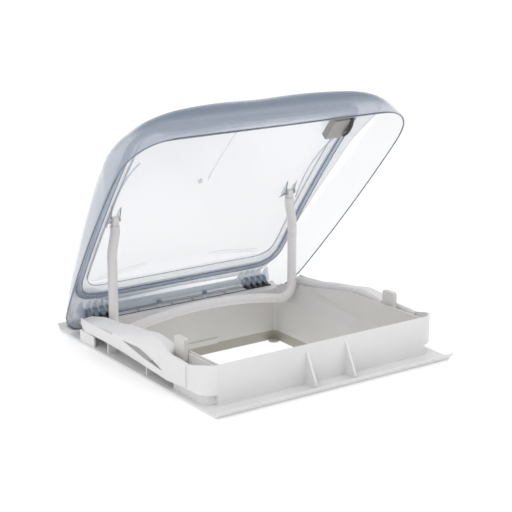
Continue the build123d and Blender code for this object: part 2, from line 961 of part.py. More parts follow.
with BuildPart() as bail_tube:
    with BuildLine(bail_plane) as bail_path:
        FilletPolyline(*bail_points, radius=bail_radii + [bail_arc] + bail_radii[::-1])
    with BuildSketch(Plane(bail_path.line @ 0, z_dir=bail_path.line % 0)):
        Circle(bail_radius)
        Circle(bail_radius - bail_wall, mode=Mode.SUBTRACT)
    sweep(path=bail_path.line)
bail_tube.part.label = "bail_tube"
export_step(bail_tube.part, "parts/bail_tube.step")

pivot_place = (pivot_back, pivot_height)
eye_start = pivot_half_width - eye_width / 2
with BuildPart() as bail_end_plug:
    with BuildSketch(Plane.XY.offset(pivot_height - pivot_neck - plug_length)):
        with Locations((pivot_half_width, pivot_back)):
            Circle(bail_radius - bail_wall - plug_clearance)
    extrude(amount=plug_length)
    add(
        block(
            (eye_start, pivot_back - eye_radius, pivot_height - pivot_neck),
            (eye_start + eye_width, pivot_back + eye_radius, pivot_height),
        )
    )
    add(rod_along_x(eye_radius, eye_start, eye_start + eye_width, pivot_place))
    add(
        rod_along_x(pin_radius + running_gap, eye_start, eye_start + eye_width, pivot_place),
        mode=Mode.SUBTRACT,
    )
save_pair(bail_end_plug.part, "bail_end_plug")

# ---- brackets under the pane carry the bail's pivots ----
pivot_in_lid = lid_plane.to_local_coords(Vector(0, pivot_back, pivot_height))
pivot_local = (pivot_in_lid.Y, pivot_in_lid.Z)
pane_top = crown_height - pane_drop
bracket_top = pane_top - pivot_half_width**2 / (2 * crown_width_radius)
pane_under = bracket_top - pane_thickness
with BuildPart() as bail_bracket:
    for spread in (-bracket_spread, bracket_spread):
        low = pivot_half_width + spread - bracket_thickness / 2
        cheek = (
            (pivot_local[0] - bracket_foot, bracket_top),
            (pivot_local[0] - eye_radius, pivot_local[1]),
            (pivot_local[0] + eye_radius, pivot_local[1]),
            (pivot_local[0] + bracket_foot, bracket_top),
        )
        add(side_plate(cheek, low, low + bracket_thickness, lid_side_plane))
        add(lid_bar(eye_radius, low, low + bracket_thickness, pivot_local))
    add(
        block(
            (
                pivot_half_width - bracket_spread,
                pivot_local[0] + bracket_strip[0],
                pane_under - bracket_strip_depth,
            ),
            (
                pivot_half_width + bracket_spread,
                pivot_local[0] + bracket_strip[1],
                bracket_top,
            ),
            lid_plane,
        )
    )
    add(under_crown(pane_drop + pane_thickness), mode=Mode.INTERSECT)
    add(
        rod_along_x(pin_radius + bore_gap, 0, tall, pivot_place),
        mode=Mode.SUBTRACT,
    )
save_pair(bail_bracket.part, "bail_bracket")

pin_start = pivot_half_width - bracket_spread - bracket_thickness / 2
pin_end = pivot_half_width + bracket_spread + bracket_thickness / 2
with BuildPart() as pivot_pin:
    add(rod_along_x(pin_radius, pin_start - pin_tail, pin_end, pivot_place))
    add(rod_along_x(pin_head_radius, pin_end, pin_end + pin_head, pivot_place))
save_pair(pivot_pin.part, "pivot_pin")

# ---- latch: one, on the right ----
lever_start = -latch_back - latch_length + lever_length - bite
with BuildPart() as latch_housing:
    add(
        block(
            (latch_inner, -latch_back - latch_length, latch_level),
            (latch_outer, -latch_back, latch_level + latch_height),
            lid_plane,
        )
    )
    add(
        block(
            (
                latch_inner + latch_wall,
                latch_wall - latch_back - latch_length,
                latch_level + latch_floor,
            ),
            (latch_outer - latch_wall, -latch_back - latch_wall, latch_level + latch_height),
            lid_plane,
        ),
        mode=Mode.SUBTRACT,
    )
    add(
        block(
            (lever_inner - fit_gap, -tall * 2, latch_level - bite),
            (
                lever_inner + lever_width + fit_gap,
                lever_start + fit_gap + bite,
                latch_level + lever_thickness + fit_gap,
            ),
            lid_plane,
        ),
        mode=Mode.SUBTRACT,
    )
latch_housing.part.label = "latch_housing"
export_step(latch_housing.part, "parts/latch_housing.step")

with BuildPart() as latch_lever:
    add(
        block(
            (lever_inner, lever_start - lever_length, latch_level),
            (lever_inner + lever_width, lever_start, latch_level + lever_thickness),
            lid_plane,
        )
    )
    add(
        block(
            (lever_inner, lever_start - lever_length, latch_level - lever_hook_drop),
            (
                lever_inner + lever_width,
                lever_start - lever_length + lever_hook_width,
                latch_level,
            ),
            lid_plane,
        )
    )
latch_lever.part.label = "latch_lever"
export_step(latch_lever.part, "parts/latch_lever.step")

# ---- pane beads and plug ----
with BuildPart() as side_bead:
    with BuildSketch(lid_side_plane.offset(bead_place)):
        with BuildLine():
            ThreePointArc(*bead_ends)
            ThreePointArc(*[(place, height + bead_height) for place, height in bead_ends])
            for place, height in (bead_ends[0], bead_ends[2]):
                Line((place, height), (place, height + bead_height))
        make_face()
    extrude(amount=bead_width)
save_pair(side_bead.part, "side_bead")

with BuildPart() as pane_plug:
    with BuildSketch(lid_plane.offset(pane_top - pane_thickness - pane_plug_height)):
        with Locations(pane_plug_place):
            Circle(pane_plug_radius)
    extrude(amount=pane_plug_height + pane_thickness)
    add(under_crown(pane_drop + pane_thickness), mode=Mode.INTERSECT)
pane_plug.part.label = "pane_plug"
export_step(pane_plug.part, "parts/pane_plug.step")
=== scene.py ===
import json
from math import cos, pi, radians, sin, sqrt

import bmesh
import bpy
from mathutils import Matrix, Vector


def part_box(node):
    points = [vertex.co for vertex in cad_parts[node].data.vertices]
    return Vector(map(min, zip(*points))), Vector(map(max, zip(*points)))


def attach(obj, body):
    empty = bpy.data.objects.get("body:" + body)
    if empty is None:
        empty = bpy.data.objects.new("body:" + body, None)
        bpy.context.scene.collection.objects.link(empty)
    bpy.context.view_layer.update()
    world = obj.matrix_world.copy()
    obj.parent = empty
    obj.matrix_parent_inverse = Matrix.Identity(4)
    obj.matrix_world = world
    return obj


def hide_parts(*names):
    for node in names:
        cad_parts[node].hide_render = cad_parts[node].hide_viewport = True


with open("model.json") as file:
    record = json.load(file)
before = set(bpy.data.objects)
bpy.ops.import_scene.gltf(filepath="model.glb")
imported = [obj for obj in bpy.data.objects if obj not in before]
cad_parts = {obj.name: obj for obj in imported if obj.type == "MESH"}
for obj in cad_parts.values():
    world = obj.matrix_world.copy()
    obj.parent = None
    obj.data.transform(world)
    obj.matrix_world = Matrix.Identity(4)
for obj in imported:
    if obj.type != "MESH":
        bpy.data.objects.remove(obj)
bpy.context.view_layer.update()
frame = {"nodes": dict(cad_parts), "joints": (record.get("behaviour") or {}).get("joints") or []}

# ---- the lid's own frame: x across, y back, z up, from the hinge axis as if level ----
OPEN_ANGLE = radians(50.5)
HINGE = next(j for j in frame["joints"] if j["name"] == "lid_hinge")["pos_m"]
LID_BACK = Vector((0, cos(OPEN_ANGLE), -sin(OPEN_ANGLE)))
LID_UP = Vector((0, sin(OPEN_ANGLE), cos(OPEN_ANGLE)))
LID_ORIGIN = Vector((0, HINGE[1], HINGE[2]))
SIDES = (("left", -1), ("right", 1))


def lid(x, y, z):
    """A point of the lid in metres, given in millimetres in the lid's own frame."""
    return LID_ORIGIN + Vector((x / 1000, 0, 0)) + LID_BACK * (y / 1000) + LID_UP * (z / 1000)


def mm(x, y, z):
    return Vector((x, y, z)) / 1000


# ---- materials ----
def new_material(name):
    material = bpy.data.materials.new(name)
    material.use_nodes = True
    tree = material.node_tree
    shader = tree.nodes["Principled BSDF"]
    return material, tree, shader


def link(tree, out_node, out_name, in_node, in_name):
    tree.links.new(out_node.outputs[out_name], in_node.inputs[in_name])


def noise(tree, scale, detail=4.0, roughness=0.55):
    place = tree.nodes.new("ShaderNodeTexCoord")
    node = tree.nodes.new("ShaderNodeTexNoise")
    node.inputs["Scale"].default_value = scale
    node.inputs["Detail"].default_value = detail
    node.inputs["Roughness"].default_value = roughness
    link(tree, place, "Object", node, "Vector")
    return node


def ramp(tree, source, low, high, start=0.3, end=0.7):
    node = tree.nodes.new("ShaderNodeValToRGB")
    node.color_ramp.elements[0].position = start
    node.color_ramp.elements[0].color = low
    node.color_ramp.elements[1].position = end
    node.color_ramp.elements[1].color = high
    link(tree, source, "Fac", node, "Fac")
    return node


def grey(value):
    return (value, value, value, 1)


def bump(tree, shader, source, strength, distance):
    node = tree.nodes.new("ShaderNodeBump")
    node.inputs["Strength"].default_value = strength
    node.inputs["Distance"].default_value = distance
    link(tree, source, "Fac", node, "Height")
    link(tree, node, "Normal", shader, "Normal")


def mix_colour(tree, factor, low=None, high=None):
    """A colour mix from low to high by a factor; either end may be linked later."""
    mix = tree.nodes.new("ShaderNodeMix")
    mix.data_type = "RGBA"
    if low is not None:
        mix.inputs[6].default_value = low + (1,)
    if high is not None:
        mix.inputs[7].default_value = high + (1,)
    tree.links.new(factor, mix.inputs[0])
    return mix


def math_node(tree, operation, first, second=None, level=None):
    """A math node on one or two linked values, or on a value and a level."""
    node = tree.nodes.new("ShaderNodeMath")
    node.operation = operation
    tree.links.new(first, node.inputs[0])
    if second is not None:
        tree.links.new(second, node.inputs[1])
    if level is not None:
        node.inputs[1].default_value = level
    return node


def place_parts(tree):
    """The object's own coordinates, split into X, Y and Z."""
    place = tree.nodes.new("ShaderNodeTexCoord")
    split = tree.nodes.new("ShaderNodeSeparateXYZ")
    link(tree, place, "Object", split, "Vector")
    return split


def mould_surface(tree, shader, low, high, grain=900, grain_depth=0.00004):
    """The uneven gloss and fine grain of a moulded surface."""
    gloss = noise(tree, 42.0, 4.0)
    link(tree, ramp(tree, gloss, grey(low), grey(high)), "Color", shader, "Roughness")
    bump(tree, shader, noise(tree, grain, 2.0), 0.35, grain_depth)


def moulded(name, colour, roughness=0.38, spread=0.03, grain=900, grain_depth=0.00004):
    """Moulded plastic: slow colour drift, uneven gloss and a fine spark-eroded grain."""
    material, tree, shader = new_material(name)
    drift = noise(tree, 9.0, 3.0)
    low = tuple(max(0, c - spread) for c in colour) + (1,)
    high = tuple(min(1, c + spread * 0.4) for c in colour) + (1,)
    link(tree, ramp(tree, drift, low, high), "Color", shader, "Base Color")
    mould_surface(tree, shader, roughness - 0.05, roughness + 0.07, grain, grain_depth)
    return material


def brushed(name, colour, roughness=0.3):
    material, tree, shader = new_material(name)
    drift = noise(tree, 220.0, 5.0)
    low = tuple(c * 0.85 for c in colour) + (1,)
    link(tree, ramp(tree, drift, low, colour + (1,)), "Color", shader, "Base Color")
    link(tree, ramp(tree, drift, grey(roughness), grey(roughness + 0.15)), "Color", shader, "Roughness")
    shader.inputs["Metallic"].default_value = 1.0
    bump(tree, shader, drift, 0.2, 0.00003)
    return material


GRAZING_START = 0.86


def clear(name, colour, dark, alpha_low, alpha_high, roughness=0.06, coat=0.0, edge=0.0):
    """Clear acrylic: smoked by a per-point attribute that also carries painted shade, and denser where
    it is seen edge on.
    """
    material, tree, shader = new_material(name)
    tint_and_shade = tree.nodes.new("ShaderNodeAttribute")
    tint_and_shade.attribute_name = "tint_and_shade"
    weight = tree.nodes.new("ShaderNodeLayerWeight")
    weight.inputs["Blend"].default_value = 0.5
    grazing = tree.nodes.new("ShaderNodeMapRange")
    grazing.inputs["From Min"].default_value = GRAZING_START
    grazing.inputs["To Max"].default_value = edge
    tree.links.new(weight.outputs["Facing"], grazing.inputs["Value"])
    total = math_node(tree, "ADD", tint_and_shade.outputs["Fac"], grazing.outputs["Result"])
    total.use_clamp = True
    mix = mix_colour(tree, total.outputs["Value"], colour, dark)
    tree.links.new(mix.outputs[2], shader.inputs["Base Color"])
    span = tree.nodes.new("ShaderNodeMapRange")
    span.inputs["To Min"].default_value = alpha_low
    span.inputs["To Max"].default_value = alpha_high
    tree.links.new(total.outputs["Value"], span.inputs["Value"])
    tree.links.new(span.outputs["Result"], shader.inputs["Alpha"])
    haze = noise(tree, 26.0, 3.0)
    link(tree, ramp(tree, haze, grey(roughness), grey(roughness + 0.05)), "Color", shader, "Roughness")
    shader.inputs["IOR"].default_value = 1.49
    shader.inputs["Coat Weight"].default_value = coat
    bump(tree, shader, noise(tree, 30.0, 2.0), 0.05, 0.0002)
    return material


WHITE = moulded("frame_white", (0.70, 0.695, 0.70))
# The lining's warm white is darker than the frame's: partly its own colour, partly painted shade of the
# inside of the collar.
LINING = moulded("lining_white", (0.60, 0.585, 0.565), 0.34)
BAIL = moulded("bail_white", (0.68, 0.66, 0.665), 0.30, 0.02, 500, 0.00003)
TAUPE = moulded("latch_grey", (0.34, 0.33, 0.32), 0.45, 0.03)
LEVER = moulded("lever_black", (0.035, 0.036, 0.038), 0.35, 0.01)
RUBBER = moulded("seal_rubber", (0.27, 0.31, 0.37), 0.55, 0.03)
STEEL = brushed("rod_steel", (0.62, 0.62, 0.63))
SCREW = brushed("screw_steel", (0.50, 0.50, 0.49))
DOME = clear("dome_tint", (0.66, 0.71, 0.80), (0.10, 0.14, 0.21), 0.06, 0.88, 0.07, 0.3, 1.0)
PANE = clear("pane_clear", (0.64, 0.68, 0.75), (0.24, 0.29, 0.35), 0.16, 0.70, 0.05, 0.0, 0.3)
RAIL = clear("rail_clear", (0.46, 0.53, 0.66), (0.10, 0.13, 0.17), 0.34, 0.95, 0.12)
LIP_SEAL = clear("lip_seal_clear", (0.46, 0.54, 0.68), (0.10, 0.13, 0.17), 0.30, 0.9, 0.2)
CLEAR = clear("bracket_clear", (0.62, 0.68, 0.74), (0.3, 0.36, 0.42), 0.42, 0.9, 0.08)
EDGE = moulded("acrylic_edge", (0.085, 0.105, 0.135), 0.22, 0.02, 300, 0.00002)


STRIP_PALE_HALF = 0.142
STRIP_PALE_BELOW_HEADS = 0.0022
TEETH_START = 0.006
TEETH_END = 0.003


def hinge_base_tone():
    """Black feet, blue-grey teeth above them, and a pale strip between the two combs."""
    material, tree, shader = new_material("hinge_base_two_tone")
    split = place_parts(tree)
    size = math_node(tree, "ABSOLUTE", split.outputs["X"])
    middle = math_node(tree, "LESS_THAN", size.outputs["Value"], level=STRIP_PALE_HALF)
    strip_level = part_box("hinge_base_screws")[1][2] - STRIP_PALE_BELOW_HEADS
    high = math_node(tree, "GREATER_THAN", split.outputs["Z"], level=strip_level)
    both = math_node(tree, "MULTIPLY", middle.outputs["Value"], high.outputs["Value"])
    strip = mix_colour(tree, both.outputs["Value"], (0.030, 0.034, 0.040), (0.55, 0.57, 0.60))
    upper = tree.nodes.new("ShaderNodeMapRange")
    upper.inputs["From Min"].default_value = HINGE[2] - TEETH_START
    upper.inputs["From Max"].default_value = HINGE[2] - TEETH_END
    link(tree, split, "Z", upper, "Value")
    teeth = mix_colour(tree, upper.outputs["Result"], high=(0.16, 0.20, 0.27))
    tree.links.new(strip.outputs[2], teeth.inputs[6])
    tree.links.new(teeth.outputs[2], shader.inputs["Base Color"])
    mould_surface(tree, shader, 0.36, 0.5)
    return material


RING_SEAM = 0.0009


def ring_tone():
    """The ceiling ring: taupe below the seam, its own colour darkened with painted shade of the deep
    inside of the collar, and its tongues in the lining's white.
    """
    material, tree, shader = new_material("ring_taupe_and_shade")
    split = place_parts(tree)
    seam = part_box("inner_lining")[0][2] - RING_SEAM
    above = math_node(tree, "GREATER_THAN", split.outputs["Z"], level=seam)
    drift = noise(tree, 9.0, 3.0)
    # a taupe darkened with painted shade, as the ring sits deep inside the collar
    taupe_and_shade = ramp(tree, drift, (0.36, 0.335, 0.29, 1), (0.40, 0.375, 0.33, 1))
    mix = mix_colour(tree, above.outputs["Value"], high=(0.59, 0.575, 0.555))
    tree.links.new(taupe_and_shade.outputs["Color"], mix.inputs[6])
    tree.links.new(mix.outputs[2], shader.inputs["Base Color"])
    mould_surface(tree, shader, 0.34, 0.46)
    return material


HINGE_BASE = hinge_base_tone()
RING = ring_tone()


def dress(node, material):
    slots = frame["nodes"][node].data.materials
    if not slots:
        slots.append(material)
    for index in range(len(slots)):
        slots[index] = material


NODE_MATERIALS = {
    "roof_frame": WHITE,
    "inner_lining": LINING,
    "lower_ring": RING,
    "striker_post_left": LINING,
    "striker_post_right": LINING,
    "post_screws": SCREW,
    "corner_screws": SCREW,
    "hinge_base": HINGE_BASE,
    "hinge_base_screws": SCREW,
    "hinge_rod": STEEL,
    "roof_seal": RUBBER,
    "lid_rail": RAIL,
    "lid_seal": LIP_SEAL,
    "hinge_comb": CLEAR,
    "hinge_end_gusset_left": RAIL,
    "hinge_end_gusset_right": RAIL,
    "bail_bracket_left": CLEAR,
    "bail_bracket_right": CLEAR,
    "pivot_pin_left": STEEL,
    "pivot_pin_right": STEEL,
    "latch_housing": TAUPE,
    "latch_lever": LEVER,
    "side_bead_left": RAIL,
    "side_bead_right": RAIL,
    "pane_plug": CLEAR,
    "bail_tube": BAIL,
    "bail_end_plug_left": BAIL,
    "bail_end_plug_right": BAIL,
}
for node_name, node_material in NODE_MATERIALS.items():
    dress(node_name, node_material)


# ---- mesh helpers ----
def make_piece(name, points, faces, material, body, smooth=True, tints_and_shades=None):
    mesh = bpy.data.meshes.new(name)
    mesh.from_pydata([tuple(p) for p in points], [], faces)
    if tints_and_shades is not None:
        # the per-point attribute holds the acrylic's smoke together with its painted shade
        layer = mesh.attributes.new("tint_and_shade", "FLOAT", "POINT")
        layer.data.foreach_set("value", tints_and_shades)
    mesh.validate()
    piece = bpy.data.objects.new(name, mesh)
    bpy.context.scene.collection.objects.link(piece)
    mesh.materials.append(material)
    for polygon in mesh.polygons:
        polygon.use_smooth = smooth
    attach(piece, body)
    return piece


def apply_modifiers(piece):
    bpy.context.view_layer.objects.active = piece
    for modifier in list(piece.modifiers):
        with bpy.context.temp_override(object=piece, active_object=piece):
            bpy.ops.object.modifier_apply(modifier=modifier.name)


def tube(name, points, radius, material, body, closed=False, order=3, resolution=4):
    """A round line along a smooth curve."""
    curve = bpy.data.curves.new(name, "CURVE")
    curve.dimensions = "3D"
    curve.bevel_depth = radius
    curve.bevel_resolution = resolution
    curve.use_fill_caps = True
    spline = curve.splines.new("NURBS")
    spline.points.add(len(points) - 1)
    for point, place in zip(spline.points, points):
        point.co = (*place, 1)
    spline.order_u = order
    spline.use_endpoint_u = not closed
    spline.use_cyclic_u = closed
    spline.resolution_u = 6
    piece = bpy.data.objects.new(name, curve)
    bpy.context.scene.collection.objects.link(piece)
    curve.materials.append(material)
    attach(piece, body)
    return piece


# ---- the lid's plan outlines ----
CENTRE = -250.0
OUTLINE_POINTS = 240


def corner_arc(centre, radius, start, count):
    turns = [start + pi / 2 * k / count for k in range(count + 1)]
    return [(centre[0] + radius * cos(turn), centre[1] + radius * sin(turn)) for turn in turns]


def outline(back_half, middle_half, front_half, back, front, back_corner, front_corner):
    """A closed plan outline with bowed sides, as points set evenly along it."""
    bow = middle_half - (back_half + front_half) / 2

    def side_x(y):
        along = (back - y) / (back + front)
        return back_half + (front_half - back_half) * along + 4 * bow * along * (1 - along)

    half = corner_arc((side_x(back) - back_corner, back - back_corner), back_corner, 0, 14)[::-1]
    steps = 40
    for k in range(1, steps):
        y = back - back_corner - (back + front - back_corner - front_corner) * k / steps
        half.append((side_x(y), y))
    low = corner_arc((side_x(-front) - front_corner, front_corner - front), front_corner, -pi / 2, 20)
    half += low[::-1]
    loop = half + [(-x, y) for x, y in reversed(half)]
    lengths = [0.0]
    closed = loop + [loop[0]]
    for a, b in zip(closed, closed[1:]):
        lengths.append(lengths[-1] + sqrt((a[0] - b[0]) ** 2 + (a[1] - b[1]) ** 2))
    total = lengths[-1]
    even = []
    segment = 0
    for k in range(OUTLINE_POINTS):
        reach = total * k / OUTLINE_POINTS
        while lengths[segment + 1] < reach:
            segment += 1
        share = (reach - lengths[segment]) / max(1e-9, lengths[segment + 1] - lengths[segment])
        a, b = closed[segment], closed[segment + 1]
        even.append((a[0] + (b[0] - a[0]) * share, a[1] + (b[1] - a[1]) * share))
    return even


CROWN_TOP = 82.0
CROWN_PLACE = -265.0
CROWN_LENGTH = 1000.0
CROWN_WIDTH = 1300.0


def crown(x, y, drop=0.0):
    """Height of the crown over a plan point."""
    along = CROWN_LENGTH - sqrt(CROWN_LENGTH**2 - (y - CROWN_PLACE) ** 2)
    across = CROWN_WIDTH - sqrt(CROWN_WIDTH**2 - x**2)
    return CROWN_TOP - drop - along - across


RAIL_TOP = 40.7
RAIL_RADIUS = 2890.0
RAIL_PLACE = -395.0
PANE_LIFT = 4.2
MIDDLE_FRONT = -430.0
MIDDLE_BACK = -70.0


def rail_level(y):
    """Height of the rail's arched underside."""
    return RAIL_TOP - RAIL_RADIUS + sqrt(RAIL_RADIUS**2 - (y - RAIL_PLACE) ** 2)


def pane_foot_level(y):
    return rail_level(y) + PANE_LIFT


def towards_centre(point, step):
    """A plan point moved towards the lid's long middle line."""
    middle_y = min(max(point[1], MIDDLE_FRONT), MIDDLE_BACK)
    dx, dy = -point[0], middle_y - point[1]
    reach = sqrt(dx * dx + dy * dy)
    return (point[0] + dx * step / reach, point[1] + dy * step / reach)


def shell_rings(foot, top, foot_level, top_level, drop, shoulder, wall_rows, inner_rings):
    """Rings of (x, y, z) from a foot outline up a wall, over a shoulder and in to the crown."""
    columns = []
    for a, b in zip(foot, top):
        base = foot_level(a[1])

        def wall_point(t):
            return (a[0] + (b[0] - a[0]) * t, a[1] + (b[1] - a[1]) * t)

        low, high = 0.0, 1.0
        for _ in range(24):
            t = (low + high) / 2
            p = wall_point(t)
            if base + (top_level - base) * t < crown(*p, drop):
                low = t
            else:
                high = t
        corner = wall_point(low)
        corner_z = crown(*corner, drop)
        room = max(1.0, min(shoulder, (corner_z - base) * 0.75))
        start_t = low - room / (top_level - base)
        start = wall_point(start_t)
        start_z = base + (top_level - base) * start_t
        inside = towards_centre(corner, room)
        inside_z = crown(*inside, drop)
        column = []
        for k in range(wall_rows):
            t = start_t * k / wall_rows
            p = wall_point(t)
            column.append((p[0], p[1], base + (top_level - base) * t))
        bends = 9
        for k in range(bends + 1):
            s = k / bends
            u = 1 - s
            x = u * u * start[0] + 2 * u * s * corner[0] + s * s * inside[0]
            y = u * u * start[1] + 2 * u * s * corner[1] + s * s * inside[1]
            z = u * u * start_z + 2 * u * s * corner_z + s * s * inside_z
            column.append((x, y, z))
        for k in range(1, inner_rings + 1):
            s = k / inner_rings
            x = inside[0] * (1 - s)
            y = inside[1] + (CENTRE - inside[1]) * s
            column.append((x, y, crown(x, y, drop)))
        columns.append(column)
    return [[column[k] for column in columns] for k in range(len(columns[0]))]


def skin_rings(name, rings, tint_and_shade_of, material, body, thickness):
    """Joins rings into one shell, closed at the middle, and gives it a thickness inwards."""
    count = len(rings[0])
    points, tints_and_shades, faces = [], [], []
    for ring in rings[:-1]:
        for p in ring:
            points.append(lid(*p))
            tints_and_shades.append(tint_and_shade_of(*p))
    for r in range(len(rings) - 2):
        for k in range(count):
            n = (k + 1) % count
            faces.append((r * count + k, r * count + n, (r + 1) * count + n, (r + 1) * count + k))
    last = (len(rings) - 2) * count
    points.append(lid(*rings[-1][0]))
    tints_and_shades.append(tint_and_shade_of(*rings[-1][0]))
    for k in range(count):
        faces.append((last + k, last + (k + 1) % count, len(points) - 1))
    piece = make_piece(name, points, faces, material, body, tints_and_shades=tints_and_shades)
    work = bmesh.new()
    work.from_mesh(piece.data)
    bmesh.ops.recalc_face_normals(work, faces=work.faces)
    middle = lid(0, CENTRE, -400)
    sample = work.faces[len(work.faces) // 3]
    if (sample.calc_center_median() - middle).dot(sample.normal) < 0:
        bmesh.ops.reverse_faces(work, faces=work.faces)
    work.to_mesh(piece.data)
    work.free()
    solid = piece.modifiers.new("thickness", "SOLIDIFY")
    solid.thickness = thickness / 1000
    solid.offset = -1
    apply_modifiers(piece)
    return piece


def ease(low, high, value):
    """0 at low, 1 at high, smoothly between; low may be the larger."""
    t = min(1.0, max(0.0, (value - low) / (high - low)))
    return t * t * (3 - 2 * t)


# ---- dome ----
RIM_LEVEL = -22.5
rim_outline = outline(248, 279, 285.5, 15, 501.5, 35, 70)
top_outline = outline(188, 241, 274, -11, 491, 40, 66)


# Smoke of the dome's skirt and front band, with painted shade on its left side and front-left corner.
def dome_tint(x, y, z):
    skirt = 1 - ease(30, 38, z)
    # the skirt's own light smoke, with painted shade making it darker towards the left
    side_smoke_and_painted_shade = 0.10 + 0.46 * ease(100, -140, x) * (0.82 + 0.18 * ease(20, -20, z))
    # the front band's smoke, darker towards its top, cut back at the right-hand end as painted shade
    front = ease(-440, -486, y) * (0.50 + 0.50 * ease(-6, 34, z)) * (1 - 0.55 * ease(250, 282, x))
    # painted shade: a dark patch at the front-left corner of the skirt
    corner = 0.9 * ease(-225, -262, x) * ease(-390, -440, y) * ease(20, 44, z)
    return min(1.0, max(side_smoke_and_painted_shade * skirt, 0.92 * front, corner))


dome_rings = shell_rings(rim_outline, top_outline, lambda y: RIM_LEVEL, CROWN_TOP, 0, 34, 8, 14)
dome = skin_rings("dome_skin", dome_rings, dome_tint, DOME, "lid", 3.0)
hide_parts("lid_outer_skin")

# ---- inner pane, with its flange out to the dome ----
PANE_DROP = 11.0
FLANGE_DROP = 8.0
FLANGE_INSET = 7.0
pane_foot = outline(204, 206, 208, -46, 438, 26, 26)
pane_top = outline(202, 204, 206, -48, 436, 24, 24)
pane_rings = shell_rings(
    pane_foot, pane_top, pane_foot_level, CROWN_TOP, PANE_DROP, 13, 3, 12
)
flange_rings = []
for reach in (0.0, 0.35, 0.7, 0.97):
    ring = []
    for foot, edge, roof in zip(pane_foot, rim_outline, top_outline):
        level = pane_foot_level(foot[1])
        share = (level - RIM_LEVEL) / (CROWN_TOP - RIM_LEVEL)
        wall = (edge[0] + (roof[0] - edge[0]) * share, edge[1] + (roof[1] - edge[1]) * share)
        wall = towards_centre(wall, FLANGE_INSET)
        x = foot[0] + (wall[0] - foot[0]) * reach
        y = foot[1] + (wall[1] - foot[1]) * reach
        z = min(pane_foot_level(y), crown(x, y, FLANGE_DROP))
        ring.append((x, y, z))
    flange_rings.append(ring)
pane_all = flange_rings[::-1] + pane_rings[1:]


def pane_tint_and_shade(x, y, z):
    foot_line = 1 - ease(1, 7, z - pane_foot_level(y))
    # painted shade: the pane darkened towards its left and front
    painted_left_front_shade = 0.10 * ease(150, -150, x) * ease(-150, -420, y)
    return max(0.22 * foot_line, painted_left_front_shade)


pane = skin_rings("inner_pane", pane_all, pane_tint_and_shade, PANE, "lid", 2.5)
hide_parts("lid_inner_pane")

# ---- dark edges of the acrylic, where light leaves it ----
def edge_loop(name, plan, level_of, radius, inset=0.0, every=4):
    """A thin dark line along a plan outline of the lid."""
    points = []
    for place in plan[::every]:
        x, y = towards_centre(place, inset)
        points.append(lid(x, y, level_of(x, y)))
    return tube(name, points, radius, EDGE, "lid", closed=True)


edge_loop("dome_rim_edge", rim_outline, lambda x, y: RIM_LEVEL + 0.6, 0.0011, 1.2)
edge_loop(
    "pane_foot_edge", pane_foot, lambda x, y: pane_foot_level(y) + 0.4, 0.0006, 0.4
)
edge_loop(
    "rail_inner_edge",
    outline(213.9, 217.9, 221.9, -29, 447, 32, 32),
    lambda x, y: rail_level(y) - 0.2,
    0.0007,
)
edge_loop(
    "rail_outer_edge",
    outline(225, 229, 233, -18, 458, 44, 44),
    lambda x, y: rail_level(y) - 0.2,
    0.0007,
)

# ---- latch lever: a curved black handle along the housing's outer side ----
lever_low, lever_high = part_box("latch_lever")
lever_x = (lever_low[0] + lever_high[0]) / 2 * 1000
LEVER_PATH = ((-383, 27), (-392, 23.5), (-404, 22), (-415, 23), (-424, 27), (-428, 31))
lever_points, lever_faces = [], []
for y, z in LEVER_PATH:
    for x, rise in ((-3.6, 0), (-2.6, -1.6), (2.6, -1.6), (3.6, 0), (2.6, 2.2), (-2.6, 2.2)):
        lever_points.append(lid(lever_x + x, y, z + rise))
for r in range(len(LEVER_PATH) - 1):
    for c in range(6):
        n = (c + 1) % 6
        lever_faces.append((r * 6 + c, r * 6 + n, (r + 1) * 6 + n, (r + 1) * 6 + c))
lever_faces.append(tuple(range(5, -1, -1)))
lever_faces.append(tuple(range(len(lever_points) - 6, len(lever_points))))
handle = make_piece("latch_handle", lever_points, lever_faces, LEVER, "latch_lever")
round_off = handle.modifiers.new("round", "SUBSURF")
round_off.levels = 2
apply_modifiers(handle)
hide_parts("latch_lever")

# ---- step lines of the lining ----
STEP_X = 203.5
STEP_RADIUS = 0.0013
for hand, side in SIDES:
    tube(
        f"lining_step_{hand}",
        [mm(side * STEP_X, y, z) for y, z in ((112, 44), (104, 42.5), (0, 30.8), (-99, 19.5))],
        STEP_RADIUS,
        LINING,
        "frame",
    )
tube(
    "lining_step_rear",
    [mm(x, 196.6, 17.5) for x in (-188, -60, 60, 188)],
    STEP_RADIUS,
    LINING,
    "frame",
)

BRACKET_FOOT = 22.0
BRACKET_LIFT = 3.2
BRACKET_CHEEKS = (175.8, 194.2)
for hand, side in SIDES:
    pin_low, pin_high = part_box(f"pivot_pin_{hand}")
    middle = (Vector(pin_low) + Vector(pin_high)) / 2 - LID_ORIGIN
    along, up = middle.dot(LID_BACK) * 1000, middle.dot(LID_UP) * 1000
    for index, reach in enumerate(BRACKET_CHEEKS):
        x = side * reach
        corners = [
            (along - BRACKET_FOOT, crown(x, along - BRACKET_FOOT, PANE_DROP + BRACKET_LIFT)),
            (along - 4, up),
            (along, up - 5),
            (along + 4, up),
            (along + BRACKET_FOOT, crown(x, along + BRACKET_FOOT, PANE_DROP + BRACKET_LIFT)),
        ]
        tube(
            f"bracket_edge_{hand}_{index + 1}",
            [lid(x, y, z) for y, z in corners],
            0.0006,
            EDGE,
            "lid",
            order=2,
        )

